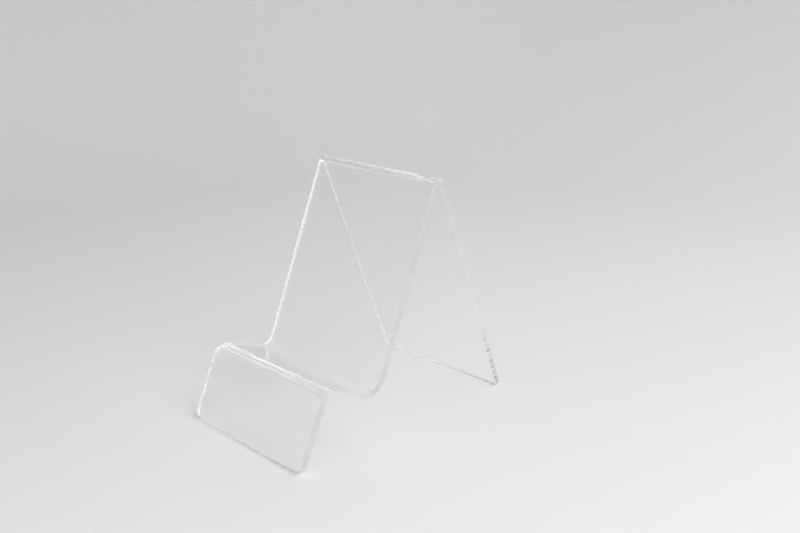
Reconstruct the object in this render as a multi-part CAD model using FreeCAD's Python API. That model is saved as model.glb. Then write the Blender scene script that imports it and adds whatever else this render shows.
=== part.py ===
import FreeCAD, Part
import math
import os

from FreeCAD import Vector

# Phone stand: one strip of clear acrylic sheet, line-bent three times.
# Seen from the side it runs, front to back: a short front leg, a shelf that slopes down
# to the back and carries the phone, a tall back rest, a sharp fold, and a rear leg.
# Frame: +X across the width, +Y to the back, +Z up, origin on the desk under the middle
# of the stand. Lengths are in millimetres and angles in degrees.

# Driving dimensions
WIDTH = 70.0
THICKNESS = 3.0

# Lengths are measured along the middle of the sheet, between the corners that its flat
# stretches would meet in if the bends had no radius.
FRONT_LEG_LENGTH = 31.2
SHELF_LENGTH = 28.0
BACK_REST_LENGTH = 90.5

# Angles are taken from the desk.
FRONT_LEG_ANGLE = 66.0
SHELF_SLOPE = 19.5
BACK_REST_ANGLE = 67.0
REAR_LEG_ANGLE = 69.5

# Radii on the inside of each bend, and in the plane of the sheet at its two cut ends
FRONT_BEND_RADIUS = 4.0
LOWER_BEND_RADIUS = 5.5
TOP_BEND_RADIUS = 0.4
FRONT_CORNER_RADIUS = 4.0
REAR_CORNER_RADIUS = 1.0

# How near an edge has to be to the place and length it is looked for by
MATCH_TOLERANCE = 0.3


def along(angle):
    """Unit vector in the side view, at an angle from +Y towards +Z."""
    return Vector(0, math.cos(math.radians(angle)), math.sin(math.radians(angle)))


def upper_normal(angle):
    """Unit vector square to the sheet, on its upper side, for a stretch at that angle."""
    return along(angle + 90)


# Each flat stretch's direction, from the front foot to the rear foot
STRETCH_ANGLES = (FRONT_LEG_ANGLE, -SHELF_SLOPE, BACK_REST_ANGLE, -REAR_LEG_ANGLE)


def middle_corners():
    """The two cut ends and the three unrounded corners, along the middle of the sheet.

    Both ends are cut square to the sheet, so each leg stands on the edge of its under side,
    and the middle of its end is half a thickness, leaned over, above the desk.
    """
    half = THICKNESS / 2
    front_end = upper_normal(FRONT_LEG_ANGLE) * half
    front_bend = front_end + along(FRONT_LEG_ANGLE) * FRONT_LEG_LENGTH
    lower_bend = front_bend + along(-SHELF_SLOPE) * SHELF_LENGTH
    top_bend = lower_bend + along(BACK_REST_ANGLE) * BACK_REST_LENGTH
    rear_end_height = upper_normal(-REAR_LEG_ANGLE).z * half
    rear_leg_length = (top_bend.z - rear_end_height) / math.sin(math.radians(REAR_LEG_ANGLE))
    rear_end = top_bend + along(-REAR_LEG_ANGLE) * rear_leg_length
    return [front_end, front_bend, lower_bend, top_bend, rear_end]


def side_corners(corners, distance):
    """The same corners, moved to the surface that lies a distance above the middle."""
    moved = [corners[0] + upper_normal(STRETCH_ANGLES[0]) * distance]
    for corner, before, after in zip(corners[1:-1], STRETCH_ANGLES, STRETCH_ANGLES[1:]):
        half_turn = math.radians(after - before) / 2
        moved.append(corner + upper_normal((before + after) / 2) * (distance / math.cos(half_turn)))
    moved.append(corners[-1] + upper_normal(STRETCH_ANGLES[-1]) * distance)
    return moved


def rounded_side(corners, radii):
    """Edges along one surface: straight runs joined by tangent arcs."""
    edges = []
    start = corners[0]
    for index, radius in enumerate(radii, start=1):
        corner = corners[index]
        to_before = (corners[index - 1] - corner).normalize()
        to_after = (corners[index + 1] - corner).normalize()
        half_angle = to_before.getAngle(to_after) / 2
        tangent_length = radius / math.tan(half_angle)
        towards_centre = (to_before + to_after).normalize()
        arc_start = corner + to_before * tangent_length
        arc_middle = corner + towards_centre * (radius / math.sin(half_angle) - radius)
        arc_end = corner + to_after * tangent_length
        edges.append(Part.LineSegment(start, arc_start).toShape())
        edges.append(Part.Arc(arc_start, arc_middle, arc_end).toShape())
        start = arc_end
    edges.append(Part.LineSegment(start, corners[-1]).toShape())
    return edges


def end_corner_edges(solid, end_point):
    """The two short edges across the thickness at one cut end of the strip."""
    found = []
    for edge in solid.Edges:
        middle = edge.CenterOfMass
        off_end = (Vector(0, middle.y, middle.z) - end_point).Length
        off_length = abs(edge.Length - THICKNESS)
        if off_end < MATCH_TOLERANCE and off_length < MATCH_TOLERANCE:
            found.append(edge)
    return found


def bent_sheet():
    corners = middle_corners()
    under = side_corners(corners, -THICKNESS / 2)
    upper = side_corners(corners, THICKNESS / 2)

    # The under side is inside the front and top bends, the upper side inside the lower bend.
    under_radii = (FRONT_BEND_RADIUS, LOWER_BEND_RADIUS + THICKNESS, TOP_BEND_RADIUS)
    upper_radii = (FRONT_BEND_RADIUS + THICKNESS, LOWER_BEND_RADIUS, TOP_BEND_RADIUS + THICKNESS)

    outline = rounded_side(under, under_radii)
    outline += [Part.LineSegment(under[-1], upper[-1]).toShape()]
    outline += rounded_side(upper, upper_radii)
    outline += [Part.LineSegment(upper[0], under[0]).toShape()]
    profile = Part.Face(Part.Wire(Part.__sortEdges__(outline)))

    strip = profile.extrude(Vector(WIDTH, 0, 0))
    strip.translate(Vector(-WIDTH / 2, 0, 0))
    strip = strip.makeFillet(FRONT_CORNER_RADIUS, end_corner_edges(strip, corners[0]))
    strip = strip.makeFillet(REAR_CORNER_RADIUS, end_corner_edges(strip, corners[-1]))

    # The foremost and rearmost points are the upper edges of the two cut ends.
    middle_y = (upper[0].y + upper[-1].y) / 2
    strip.translate(Vector(0, -middle_y, 0))
    return strip


os.makedirs("parts", exist_ok=True)

sheet = bent_sheet()
sheet.exportStep("parts/bent_acrylic_sheet.step")

box = sheet.BoundBox
print("solids", len(sheet.Solids), "valid", sheet.isValid(), "volume mm3", round(sheet.Volume, 1))
print("X", round(box.XMin, 3), round(box.XMax, 3), "Y", round(box.YMin, 3), round(box.YMax, 3))
print("Z", round(box.ZMin, 3), round(box.ZMax, 3))
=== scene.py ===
import math

import bpy
import numpy as np
from mathutils import Matrix, Vector


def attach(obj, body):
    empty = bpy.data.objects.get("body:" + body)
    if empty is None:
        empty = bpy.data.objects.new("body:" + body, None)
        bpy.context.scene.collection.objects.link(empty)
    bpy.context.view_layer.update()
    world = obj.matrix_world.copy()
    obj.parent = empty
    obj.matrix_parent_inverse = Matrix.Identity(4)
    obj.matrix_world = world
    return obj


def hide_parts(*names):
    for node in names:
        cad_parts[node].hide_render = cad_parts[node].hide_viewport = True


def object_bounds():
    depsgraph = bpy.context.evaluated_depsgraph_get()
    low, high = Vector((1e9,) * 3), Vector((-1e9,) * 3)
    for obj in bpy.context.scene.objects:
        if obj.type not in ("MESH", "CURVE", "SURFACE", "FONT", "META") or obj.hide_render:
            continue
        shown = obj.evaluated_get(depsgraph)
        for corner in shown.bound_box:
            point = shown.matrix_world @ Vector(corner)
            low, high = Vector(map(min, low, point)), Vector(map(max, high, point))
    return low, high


# Looks of a clear acrylic phone stand: one strip of sheet, bent across its width three times.
# Everything is in metres in the CAD frame: +X across the width, +Y to the rear, +Z up.

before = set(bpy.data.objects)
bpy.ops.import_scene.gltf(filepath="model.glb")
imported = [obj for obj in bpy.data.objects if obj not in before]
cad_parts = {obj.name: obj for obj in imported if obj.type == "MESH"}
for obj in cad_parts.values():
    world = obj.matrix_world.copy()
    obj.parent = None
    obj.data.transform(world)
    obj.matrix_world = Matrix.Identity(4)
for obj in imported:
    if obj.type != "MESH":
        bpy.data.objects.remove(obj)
cad_low, cad_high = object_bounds()

MM = 0.001
NODE = "bent_acrylic_sheet"

# ---------------------------------------------------------------- the strip's dimensions

WIDTH = cad_high.x - cad_low.x
THICKNESS = 3.0 * MM
HALF = THICKNESS / 2

# Flat stretches from the front foot to the rear foot: angle from the desk in degrees, and
# length along the middle of the sheet between unrounded corners. The rear leg's length
# follows from the desk.
FRONT_LEG_ANGLE = 66.0
SHELF_ANGLE = -19.5
BACK_REST_ANGLE = 67.0
REAR_LEG_ANGLE = -69.5
STRETCH_ANGLES = (FRONT_LEG_ANGLE, SHELF_ANGLE, BACK_REST_ANGLE, REAR_LEG_ANGLE)
FRONT_LEG_LENGTH = 31.2 * MM
SHELF_LENGTH = 28.0 * MM
BACK_REST_LENGTH = 90.5 * MM

# Radii of the bends along the middle of the sheet, and of its corners in its own plane
BEND_RADII = (4.0 * MM + HALF, 5.5 * MM + HALF, 0.4 * MM + HALF)
TOP_BEND = 2
FRONT_CORNER_RADIUS = 4.0 * MM
REAR_CORNER_RADIUS = 1.0 * MM

# What polishing and heating do to the sheet. A reach is how far past a bend's arc an effect goes.
EDGE_ROUNDING = 0.16 * MM
SIDE_FLARE = 0.12 * MM
BEND_THINNING = 0.05
BEND_REACH = 1.5 * MM
GLOSS_REACH = 2.5 * MM
SURFACE_WAVE = 0.012 * MM
WAVE_REACH = 9.0 * MM
WAVE_SCALE_ACROSS = 9.0 * MM
WAVE_SCALE_ALONG = 7.0 * MM
WAVE_PHASE_ACROSS = 1.3
WAVE_PHASE_ALONG = 0.4

# The power of |x| / half width that keeps an effect to the strip's very sides
SIDE_SHARPNESS = 24

# Roughness of the cut edges, and of the stretch of them that heat glossed at the top bend
CUT_ROUGHNESS = 0.35
TOP_BEND_ROUGHNESS = 0.12

# Dimples, such as a chattering saw may leave, in the right edge of the rear leg, from its foot upwards,
# which the cut edge's colour also darkens as painted shade: distance from the foot, half width along
# the edge (both in millimetres) and share of depth
SAW_MARKS = ((1.7, 0.9, 0.8), (4.0, 1.2, 0.85), (7.2, 1.4, 0.75), (10.6, 1.0, 0.9),
             (13.1, 0.7, 0.95), (14.4, 0.7, 0.85), (16.9, 0.9, 0.55), (19.8, 1.0, 1.0),
             (22.8, 0.8, 0.4), (26.1, 1.4, 0.65), (29.8, 1.9, 0.4))
SAW_MARK_DEPTH = 0.20 * MM
SAW_MARK_HALF_HEIGHT = 1.5 * MM
MARKED_LENGTH = 33.0 * MM


# ---------------------------------------------------------------- the strip's side view

def along(angle):
    """Unit vector (y, z) in the side view, at an angle in degrees from +Y towards +Z."""
    return np.array([math.cos(math.radians(angle)), math.sin(math.radians(angle))])


def side_view_path():
    """The middle line as a list of straight runs and arcs, and the point it starts at.

    Each entry is (length, start angle, end angle), with angles in degrees.
    """
    start = along(FRONT_LEG_ANGLE + 90) * HALF
    lengths = [FRONT_LEG_LENGTH, SHELF_LENGTH, BACK_REST_LENGTH]
    top = start + sum(along(angle) * length for angle, length in zip(STRETCH_ANGLES, lengths))
    rear_end_height = along(REAR_LEG_ANGLE + 90)[1] * HALF
    lengths.append((top[1] - rear_end_height) / math.sin(math.radians(-REAR_LEG_ANGLE)))

    turns = [after - before for before, after in zip(STRETCH_ANGLES, STRETCH_ANGLES[1:])]
    cut_backs = [r * math.tan(math.radians(abs(t)) / 2) for r, t in zip(BEND_RADII, turns)]
    runs = []
    for index, (angle, length) in enumerate(zip(STRETCH_ANGLES, lengths)):
        before = cut_backs[index - 1] if index > 0 else 0.0
        after = cut_backs[index] if index < len(turns) else 0.0
        runs.append((length - before - after, angle, angle))
        if index < len(turns):
            arc_length = BEND_RADII[index] * math.radians(abs(turns[index]))
            runs.append((arc_length, angle, angle + turns[index]))

    # The foremost point of the strip is the upper corner of its front end.
    foremost = (start + along(FRONT_LEG_ANGLE + 90) * HALF)[0]
    return runs, start + np.array([cad_low.y - foremost, 0.0])


RUNS, PATH_START = side_view_path()
RUN_ENDS = np.cumsum([run[0] for run in RUNS])
STRIP_LENGTH = RUN_ENDS[-1]

# Every second run is a bend.
BEND_MIDDLES = [RUN_ENDS[i] - RUNS[i][0] / 2 for i in (1, 3, 5)]

# How far outside a run a point may lie, in metres, and still count as on it
RUN_TOLERANCE = 1e-9


def middle_line(distances):
    """Points (y, z) and directions, in radians, at distances along the middle line."""
    points = np.zeros((len(distances), 2))
    directions = np.zeros(len(distances))
    start, run_start = PATH_START.copy(), 0.0
    for length, first, last in RUNS:
        run_end = run_start + length
        inside = (distances >= run_start - RUN_TOLERANCE) & (distances <= run_end + RUN_TOLERANCE)
        part = distances[inside] - run_start
        a = math.radians(first)
        turn = math.radians(last - first)
        if turn == 0.0:
            points[inside] = start + np.outer(part, [math.cos(a), math.sin(a)])
            directions[inside] = a
            start = start + along(first) * length
        else:
            radius = length / turn
            centre = start + radius * np.array([-math.sin(a), math.cos(a)])
            b = a + part / radius
            points[inside] = centre + radius * np.stack([np.sin(b), -np.cos(b)], axis=1)
            directions[inside] = b
            end = math.radians(last)
            start = centre + radius * np.array([math.sin(end), -math.cos(end)])
        run_start = run_end
    return points, directions


# ---------------------------------------------------------------- the flat blank

LONG_STEP = 1.0 * MM
MARK_STEP = 0.15 * MM
BEND_STEP_DEGREES = 2.0
MIDDLE_COLUMNS = 33
CORNER_STEPS = 14
ROUNDING_STEPS = 4
RIM_ROWS = 8


def spread(low, high, count):
    """The starts of a number of equal steps from low to high."""
    return list(np.linspace(low, high, count + 1)[:-1])


def stations():
    """Distances along the strip between its corner arcs, close together in bends and saw marks."""
    found = []
    run_start = 0.0
    for index, (length, first, last) in enumerate(RUNS):
        low = FRONT_CORNER_RADIUS if index == 0 else run_start
        high = run_start + length
        if index == len(RUNS) - 1:
            high -= REAR_CORNER_RADIUS
            marks_start = high - MARKED_LENGTH
            found += spread(low, marks_start, math.ceil((marks_start - low) / LONG_STEP))
            found += spread(marks_start, high, math.ceil(MARKED_LENGTH / MARK_STEP))
        elif first == last:
            found += spread(low, high, math.ceil((high - low) / LONG_STEP))
        else:
            found += spread(low, high, math.ceil(abs(last - first) / BEND_STEP_DEGREES))
        run_start += length
    found.append(STRIP_LENGTH - REAR_CORNER_RADIUS)
    return found


def side_outline():
    """The blank's right side, from the front end to the rear end: points and outward normals.

    Each is (x, distance along the strip). Both ends' rounded corners are part of it.
    """
    points, normals = [], []
    half_width = WIDTH / 2 - SIDE_FLARE
    for theta in np.linspace(0.0, math.pi / 2, CORNER_STEPS + 1)[:-1]:
        normal = (math.sin(theta), -math.cos(theta))
        centre = (half_width - FRONT_CORNER_RADIUS, FRONT_CORNER_RADIUS)
        points.append([c + FRONT_CORNER_RADIUS * n for c, n in zip(centre, normal)])
        normals.append(normal)
    for distance in stations():
        points.append([half_width, distance])
        normals.append((1.0, 0.0))
    for theta in np.linspace(0.0, math.pi / 2, CORNER_STEPS + 1)[1:]:
        normal = (math.cos(theta), math.sin(theta))
        centre = (half_width - REAR_CORNER_RADIUS, STRIP_LENGTH - REAR_CORNER_RADIUS)
        points.append([c + REAR_CORNER_RADIUS * n for c, n in zip(centre, normal)])
        normals.append(normal)
    return np.array(points), np.array(normals)


def column_shares():
    """Places across the strip from -1 to 1, closer together near its sides."""
    near_side = np.array([0.0, 0.15, 0.4, 0.8, 1.4, 2.2, 3.2]) * MM
    inner = WIDTH / 2 - near_side[-1]
    middle = np.linspace(-inner, inner, MIDDLE_COLUMNS)[1:-1]
    places = np.concatenate([near_side - WIDTH / 2, middle, WIDTH / 2 - near_side[::-1]])
    return places / (WIDTH / 2)


def blank_mesh():
    """Vertices (x, distance, height), quads, and how many quads lie on the two faces."""
    outline, normals = side_outline()
    shares = column_shares()
    rows, columns = len(outline), len(shares)
    inset = outline - normals * EDGE_ROUNDING

    # Upper and under faces: a grid whose border is the outline moved in by the rounding
    face_x = np.outer(inset[:, 0], shares)
    face_v = np.repeat(inset[:, 1:2], columns, axis=1)
    upper = np.stack([face_x, face_v, np.full_like(face_x, HALF)], axis=-1).reshape(-1, 3)
    under = upper * np.array([1.0, 1.0, -1.0])
    upper_ids = np.arange(rows * columns).reshape(rows, columns)
    under_ids = upper_ids + rows * columns
    quads = []
    for i in range(rows - 1):
        for j in range(columns - 1):
            a, b = upper_ids[i, j], upper_ids[i, j + 1]
            c, d = upper_ids[i + 1, j + 1], upper_ids[i + 1, j]
            quads.append((a, b, c, d))
            quads.append([corner + rows * columns for corner in (a, d, c, b)])
    face_quads = len(quads)

    # The rim: once round the blank, counter-clockwise as seen from above
    loop = [(i, columns - 1) for i in range(rows)]
    loop += [(rows - 1, j) for j in range(columns - 2, 0, -1)]
    loop += [(i, 0) for i in range(rows - 1, -1, -1)]
    loop += [(0, j) for j in range(1, columns - 1)]
    border, outward = [], []
    for i, j in loop:
        if j == columns - 1:
            border.append(outline[i])
            outward.append(normals[i])
        elif j == 0:
            border.append(outline[i] * (-1, 1))
            outward.append(normals[i] * (-1, 1))
        else:
            border.append((outline[i, 0] * shares[j], outline[i, 1]))
            outward.append(normals[i])
    border, outward = np.array(border), np.array(outward)

    rim = rim_section()
    rings = [np.array([upper_ids[i, j] for i, j in loop])]
    vertices = [upper, under]
    count = 2 * rows * columns
    for inward, height in rim[1:-1]:
        ring = border - outward * inward
        vertices.append(np.column_stack([ring, np.full(len(ring), height)]))
        rings.append(np.arange(count, count + len(ring)))
        count += len(ring)
    rings.append(np.array([under_ids[i, j] for i, j in loop]))
    for ring, lower in zip(rings, rings[1:]):
        following, lower_following = np.roll(ring, -1), np.roll(lower, -1)
        quads += list(zip(ring, lower, lower_following, following))
    return np.concatenate(vertices), np.array(quads), face_quads


def rim_section():
    """The cut edge's section: (distance in from the outline, height), from top to bottom."""
    section = []
    for angle in np.linspace(0.0, math.pi / 2, ROUNDING_STEPS + 1):
        inward = EDGE_ROUNDING * (1 - math.sin(angle))
        section.append((inward, HALF - EDGE_ROUNDING * (1 - math.cos(angle))))
    flat_half = HALF - EDGE_ROUNDING
    for height in np.linspace(flat_half, -flat_half, RIM_ROWS + 1)[1:-1]:
        section.append((0.0, height))
    return section + [(inward, -height) for inward, height in reversed(section[:ROUNDING_STEPS + 1])]


def bend_share(distances, index, reach):
    """1 in the middle of a bend, falling smoothly to 0 over its heated zone."""
    half_zone = RUNS[2 * index + 1][0] / 2 + reach
    away = np.abs(distances - BEND_MIDDLES[index]) / half_zone
    return np.where(away < 1, np.cos(away * math.pi / 2) ** 2, 0.0)


def saw_mark_share(x, distance, height):
    """How deep the saw marks are at points of the blank, as a share of their full depth."""
    above_foot = STRIP_LENGTH - distance
    marks = sum(share * np.exp(-((above_foot - place * MM) / (half_width * MM)) ** 2)
                for place, half_width, share in SAW_MARKS)
    marks *= np.exp(-(height / SAW_MARK_HALF_HEIGHT) ** 2)
    return marks * np.clip(x / (WIDTH / 2), 0, 1) ** SIDE_SHARPNESS


def edge_roughness(distance):
    """Roughness of the cut edges at distances along the strip: glossier at the top bend."""
    heated = bend_share(distance, TOP_BEND, GLOSS_REACH)
    return CUT_ROUGHNESS + (TOP_BEND_ROUGHNESS - CUT_ROUGHNESS) * heated


def shape_blank(blank):
    """Bends the blank into the stand, with the thinning and the flare that heating leaves."""
    x, distance, height = blank.T.copy()
    x -= SAW_MARK_DEPTH * saw_mark_share(x, distance, height)
    inner_sides = (-1, 1, -1)    # of the front, lower and top bend; 1 is the upper side
    thickness = np.ones_like(x)
    for index, inner in enumerate(inner_sides):
        share = bend_share(distance, index, BEND_REACH)
        thickness -= BEND_THINNING * share
        inward_height = np.clip(height * inner / HALF, -1, 1)
        side = np.clip(np.abs(x) / (WIDTH / 2), 0, 1) ** SIDE_SHARPNESS * np.sign(x)
        x += side * SIDE_FLARE * share * (0.5 + 0.5 * inward_height)
    points, directions = middle_line(distance)
    across = np.sin(x / WAVE_SCALE_ACROSS + WAVE_PHASE_ACROSS)
    wave = SURFACE_WAVE * across * np.sin(distance / WAVE_SCALE_ALONG + WAVE_PHASE_ALONG)
    near_bend = sum(bend_share(distance, index, WAVE_REACH) for index in range(len(BEND_RADII)))
    lift = height * thickness + wave * near_bend
    y = points[:, 0] - np.sin(directions) * lift
    z = points[:, 1] + np.cos(directions) * lift
    return np.column_stack([x, y, z])


def build_stand():
    blank, quads, face_quads = blank_mesh()
    vertices = shape_blank(blank)
    mesh = bpy.data.meshes.new("acrylic_stand")
    mesh.from_pydata(vertices.tolist(), [], quads.tolist())
    mesh.materials.append(acrylic_face())
    mesh.materials.append(acrylic_cut_edge())
    on_edge = np.zeros(len(quads), np.int32)
    on_edge[face_quads:] = 1
    mesh.polygons.foreach_set("material_index", on_edge)
    mesh.polygons.foreach_set("use_smooth", np.ones(len(quads), bool))
    # The saw marks' share also masks the painted shade on the cut edges.
    for name, values in (("saw_mark_painted_shade", saw_mark_share(*blank.T)),
                         ("edge_roughness", edge_roughness(blank[:, 1]))):
        mesh.attributes.new(name, "FLOAT", "POINT").data.foreach_set("value", values.astype(np.float32))
    mesh.update()
    mesh.validate()
    stand = bpy.data.objects.new("acrylic_stand", mesh)
    bpy.context.scene.collection.objects.link(stand)
    return stand


# ---------------------------------------------------------------- materials

ACRYLIC_IOR = 1.49
ABSORPTION_COLOUR = (0.915, 0.92, 0.918, 1.0)
ABSORPTION_DENSITY = 1.0

# Scales are features per metre; depths are what a bump stands for.
SMEAR_SCALE = 55.0
SMEAR_ROUGHNESS = 0.05
SCRATCH_SCALE = 40.0
SCRATCH_STRETCH = (1.0, 34.0, 22.0)
SCRATCH_DEPTH = 0.0008 * MM
FROST_SCALE = 160.0
FROST_VARIATION = 0.05
GRAIN_SCALE = 2600.0
GRAIN_DEPTH = 0.004 * MM
# Grey level of the painted shade on the saw marks, in the cut edge's colour
SAW_MARK_PAINTED_SHADE = 0.40

FLOOR_SHADE = 0.80
FLOOR_ROUGHNESS = 0.45
TOOTH_SCALE = 2500.0
TOOTH_DEPTH = 0.004 * MM


def new_material(name):
    material = bpy.data.materials.new(name)
    material.use_nodes = True
    nodes = material.node_tree.nodes
    return material, nodes, material.node_tree.links, nodes["Principled BSDF"], nodes["Material Output"]


def clear_acrylic(name):
    """A clear plastic with polished faces: what the faces and the cut edges share."""
    material, nodes, links, shader, output = new_material(name)
    shader.inputs["Base Color"].default_value = (1.0, 1.0, 1.0, 1.0)
    shader.inputs["Transmission Weight"].default_value = 1.0
    shader.inputs["IOR"].default_value = ACRYLIC_IOR
    shader.inputs["Roughness"].default_value = 0.0
    absorption = nodes.new("ShaderNodeVolumeAbsorption")
    absorption.inputs["Color"].default_value = ABSORPTION_COLOUR
    absorption.inputs["Density"].default_value = ABSORPTION_DENSITY
    links.new(absorption.outputs["Volume"], output.inputs["Volume"])
    return material, nodes, links, shader


def add_noise(nodes, links, coordinates, scale, detail=3.0, stretch=(1.0, 1.0, 1.0)):
    """A noise texture with about scale features per metre, stretched along the axes."""
    mapping = nodes.new("ShaderNodeMapping")
    mapping.inputs["Scale"].default_value = stretch
    links.new(coordinates, mapping.inputs["Vector"])
    noise = nodes.new("ShaderNodeTexNoise")
    noise.inputs["Scale"].default_value = scale
    noise.inputs["Detail"].default_value = detail
    links.new(mapping.outputs["Vector"], noise.inputs["Vector"])
    return noise.outputs["Fac"]


def add_range(nodes, links, value, from_range, to_range):
    """Maps a value smoothly from one range to another, without going past its ends."""
    ramp = nodes.new("ShaderNodeMapRange")
    ramp.interpolation_type = "SMOOTHSTEP"
    for name, number in zip(("From Min", "From Max", "To Min", "To Max"), from_range + to_range):
        ramp.inputs[name].default_value = number
    links.new(value, ramp.inputs["Value"])
    return ramp.outputs["Result"]


def add_bump(nodes, links, height, depth):
    """A bump node whose height of 0 to 1 stands for a depth in metres."""
    bump = nodes.new("ShaderNodeBump")
    bump.inputs["Distance"].default_value = depth
    links.new(height, bump.inputs["Height"])
    return bump


def acrylic_face():
    """Glossy cast faces, with a few smears and hairline scratches from being wiped."""
    material, nodes, links, shader = clear_acrylic("clear_acrylic_face")
    place = nodes.new("ShaderNodeTexCoord").outputs["Object"]
    smears = add_noise(nodes, links, place, SMEAR_SCALE, 4.0)
    roughness = add_range(nodes, links, smears, (0.50, 0.72), (0.0, SMEAR_ROUGHNESS))
    links.new(roughness, shader.inputs["Roughness"])
    scratches = add_noise(nodes, links, place, SCRATCH_SCALE, 2.0, SCRATCH_STRETCH)
    hairlines = add_range(nodes, links, scratches, (0.68, 0.74), (0.0, 1.0))
    bump = add_bump(nodes, links, hairlines, SCRATCH_DEPTH)
    links.new(bump.outputs["Normal"], shader.inputs["Normal"])
    return material


def acrylic_cut_edge():
    """Sawn edges, half polished: a soft frost, glossed by heat at the top bend, and saw marks.

    The marks' dimples are too shallow to look dark by themselves, so their dark look is painted shade
    in the edge's colour.
    """
    material, nodes, links, shader = clear_acrylic("clear_acrylic_cut_edge")
    place = nodes.new("ShaderNodeTexCoord").outputs["Object"]
    patches = add_noise(nodes, links, place, FROST_SCALE, 3.0)
    variation = add_range(nodes, links, patches, (0.3, 0.7), (-FROST_VARIATION, FROST_VARIATION))
    frost = nodes.new("ShaderNodeAttribute")
    frost.attribute_name = "edge_roughness"
    roughness = nodes.new("ShaderNodeMath")
    links.new(frost.outputs["Fac"], roughness.inputs[0])
    links.new(variation, roughness.inputs[1])
    links.new(roughness.outputs["Value"], shader.inputs["Roughness"])

    # Painted shade: the cut edge's colour darkens over the saw marks, standing in for the darkness of
    # their dimples.
    marks = nodes.new("ShaderNodeAttribute")
    marks.attribute_name = "saw_mark_painted_shade"
    painted_shade_share = add_range(nodes, links, marks.outputs["Fac"], (0.1, 0.9), (0.0, 1.0))
    links.new(add_grey(nodes, links, painted_shade_share, 1.0, SAW_MARK_PAINTED_SHADE), shader.inputs["Base Color"])

    grain = add_noise(nodes, links, place, GRAIN_SCALE, 2.0)
    bump = add_bump(nodes, links, grain, GRAIN_DEPTH)
    links.new(bump.outputs["Normal"], shader.inputs["Normal"])
    return material


def add_grey(nodes, links, share, first, second):
    """Mixes from one grey level to another."""
    mix = nodes.new("ShaderNodeMix")
    mix.data_type = "RGBA"
    links.new(share, mix.inputs["Factor"])
    mix.inputs["A"].default_value = (first, first, first, 1.0)
    mix.inputs["B"].default_value = (second, second, second, 1.0)
    return mix.outputs["Result"]


def floor_paper():
    """Plain pale matt paper with a faint tooth."""
    material, nodes, links, shader, _ = new_material("pale_floor")
    shader.inputs["Base Color"].default_value = (FLOOR_SHADE, FLOOR_SHADE, FLOOR_SHADE, 1.0)
    shader.inputs["Roughness"].default_value = FLOOR_ROUGHNESS
    place = nodes.new("ShaderNodeTexCoord").outputs["Object"]
    tooth = add_noise(nodes, links, place, TOOTH_SCALE, 2.0)
    bump = add_bump(nodes, links, tooth, TOOTH_DEPTH)
    links.new(bump.outputs["Normal"], shader.inputs["Normal"])
    return material


# ---------------------------------------------------------------- floor, light and camera

FLOOR_FLAT_RADIUS = 0.40
FLOOR_SWEEP_RADIUS = 0.60
FLOOR_WALL_HEIGHT = 0.90
FLOOR_SWEEP_STEPS = 24
FLOOR_STEPS_AROUND = 96


def build_floor():
    """A round pale floor that sweeps up all round, so that no horizon shows."""
    section = [(0.0, 0.0), (FLOOR_FLAT_RADIUS / 2, 0.0), (FLOOR_FLAT_RADIUS, 0.0)]
    for angle in np.linspace(0.0, math.pi / 2, FLOOR_SWEEP_STEPS + 1)[1:]:
        section.append((FLOOR_FLAT_RADIUS + FLOOR_SWEEP_RADIUS * math.sin(angle),
                        FLOOR_SWEEP_RADIUS * (1 - math.cos(angle))))
    section.append((section[-1][0], FLOOR_WALL_HEIGHT))
    around = FLOOR_STEPS_AROUND
    vertices = [(0.0, 0.0, 0.0)]
    for radius, height in section[1:]:
        for step in range(around):
            angle = 2 * math.pi * step / around
            vertices.append((radius * math.cos(angle), radius * math.sin(angle), height))
    faces = [(0, 1 + step, 1 + (step + 1) % around) for step in range(around)]
    for ring in range(len(section) - 2):
        first, second = 1 + ring * around, 1 + (ring + 1) * around
        for step in range(around):
            following = (step + 1) % around
            faces.append((first + step, second + step, second + following, first + following))
    mesh = bpy.data.meshes.new("pale_floor")
    mesh.from_pydata(vertices, [], faces)
    mesh.polygons.foreach_set("use_smooth", np.ones(len(faces), bool))
    mesh.materials.append(floor_paper())
    floor = bpy.data.objects.new("pale_floor", mesh)
    bpy.context.scene.collection.objects.link(floor)
    return floor


def direction(azimuth, elevation):
    """Unit vector towards an azimuth, counted as for the camera (0 is -Y, 90 is +X)."""
    a, e = math.radians(azimuth), math.radians(elevation)
    return Vector((math.sin(a) * math.cos(e), -math.cos(a) * math.cos(e), math.sin(e)))


# Equal softboxes that all hang equally far from the stand: azimuth, elevation and power in
# watts. The light comes mostly from the right, from beside the stand and above it.
SOFTBOXES = (
    ("right_low", 60, 22, 2.8),
    ("right_high", 70, 52, 2.8),
    ("rear_high", 135, 52, 2.5),
    ("left_fill", -110, 40, 0.6),
)
SOFTBOX_DISTANCE = 0.80
SOFTBOX_WIDTH = 0.90
SOFTBOX_HEIGHT = 0.63


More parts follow.
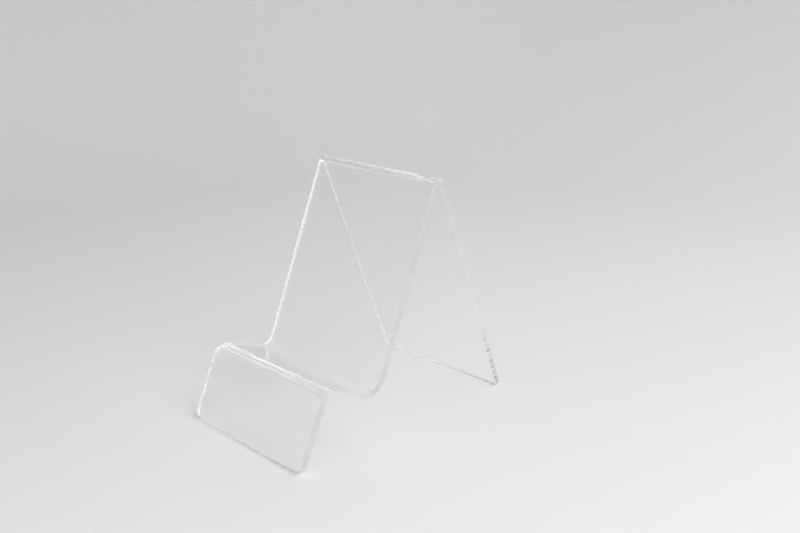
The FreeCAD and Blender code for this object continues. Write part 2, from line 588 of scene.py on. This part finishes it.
def softbox(name, azimuth, elevation, power):
    light = bpy.data.lights.new(name, "AREA")
    light.shape = "RECTANGLE"
    light.size = SOFTBOX_WIDTH
    light.size_y = SOFTBOX_HEIGHT
    light.energy = power
    lamp = bpy.data.objects.new(name, light)
    towards = direction(azimuth, elevation)
    lamp.location = towards * SOFTBOX_DISTANCE
    lamp.rotation_mode = "QUATERNION"
    lamp.rotation_quaternion = towards.to_track_quat("Z", "Y")
    lamp.visible_camera = False
    bpy.context.scene.collection.objects.link(lamp)


AMBIENT_STRENGTH = 0.15


def build_world():
    world = bpy.data.worlds.new("soft_room")
    world.use_nodes = True
    background = world.node_tree.nodes["Background"]
    background.inputs["Color"].default_value = (1.0, 1.0, 1.0, 1.0)
    background.inputs["Strength"].default_value = AMBIENT_STRENGTH
    bpy.context.scene.world = world


CAMERA_PLACE = Vector((0.295, -0.256, 0.188))
CAMERA_AZIMUTH = 45.9
CAMERA_ELEVATION = 18.0
CAMERA_ROLL = -0.75
CAMERA_LENS = 44.2


def build_camera():
    back = direction(CAMERA_AZIMUTH, CAMERA_ELEVATION)
    level = Vector((0, 0, 1)).cross(back).normalized()
    upright = back.cross(level)
    roll = math.radians(CAMERA_ROLL)
    right = level * math.cos(roll) + upright * math.sin(roll)
    up = upright * math.cos(roll) - level * math.sin(roll)
    data = bpy.data.cameras.new("camera")
    data.sensor_width = 36.0
    data.lens = CAMERA_LENS
    data.clip_start = 0.01
    data.clip_end = 20.0
    camera = bpy.data.objects.new("camera", data)
    bpy.context.scene.collection.objects.link(camera)
    turn = Matrix((right, up, back)).transposed().to_4x4()
    camera.matrix_world = Matrix.Translation(CAMERA_PLACE) @ turn
    bpy.context.scene.camera = camera


SHEET_BOUNCES = 64
DIFFUSE_BOUNCES = 4


def set_light_paths():
    """Enough bounces for light that passes all four stretches and turns inside their edges."""
    cycles = bpy.context.scene.cycles
    cycles.max_bounces = SHEET_BOUNCES
    cycles.transmission_bounces = SHEET_BOUNCES
    cycles.glossy_bounces = SHEET_BOUNCES
    cycles.diffuse_bounces = DIFFUSE_BOUNCES
    cycles.blur_glossy = 0.0
    bpy.context.scene.view_settings.view_transform = "Standard"


build_camera()
build_world()
set_light_paths()
for softbox_row in SOFTBOXES:
    softbox(*softbox_row)
build_floor()

stand = build_stand()
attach(stand, "root")
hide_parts(NODE)
